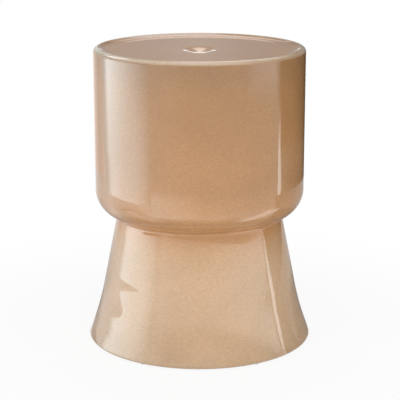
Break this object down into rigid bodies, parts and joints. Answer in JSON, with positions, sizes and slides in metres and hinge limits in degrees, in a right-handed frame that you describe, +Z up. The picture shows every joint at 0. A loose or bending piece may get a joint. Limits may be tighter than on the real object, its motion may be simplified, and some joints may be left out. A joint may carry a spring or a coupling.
{
  "type": "garden stool",
  "caption": "Waisted garden stool of cased glass: a drum seat with a dished top over a flaring, hollow base that is open underneath, glossy caramel under clear glass.",
  "frame": {"origin": "on the stool's axis, in the plane of the floor that its bumpers stand on", "axes": "+Z up along the axis of revolution; +X and +Y level, with a bumper on +X and -Y to the viewer"},
  "size_m": [0.348, 0.348, 0.457],
  "materials": {
    "clear_glass": "polished",
    "caramel_glass": "polished",
    "opal_glass": "polished",
    "clear_elastomer": "clear soft",
    "adhesive": "tacky"
  },
  "bodies": {
    "root": {"clear_casing": "clear_glass", "colour_layer": "caramel_glass", "opal_lining": "opal_glass", "bumper_1": "clear_elastomer", "bumper_2": "clear_elastomer", "bumper_3": "clear_elastomer", "bumper_4": "clear_elastomer", "bumper_5": "clear_elastomer", "bumper_6": "clear_elastomer", "bumper_adhesive_1": "adhesive", "bumper_adhesive_2": "adhesive", "bumper_adhesive_3": "adhesive", "bumper_adhesive_4": "adhesive", "bumper_adhesive_5": "adhesive", "bumper_adhesive_6": "adhesive"}
  },
  "joints": []
}
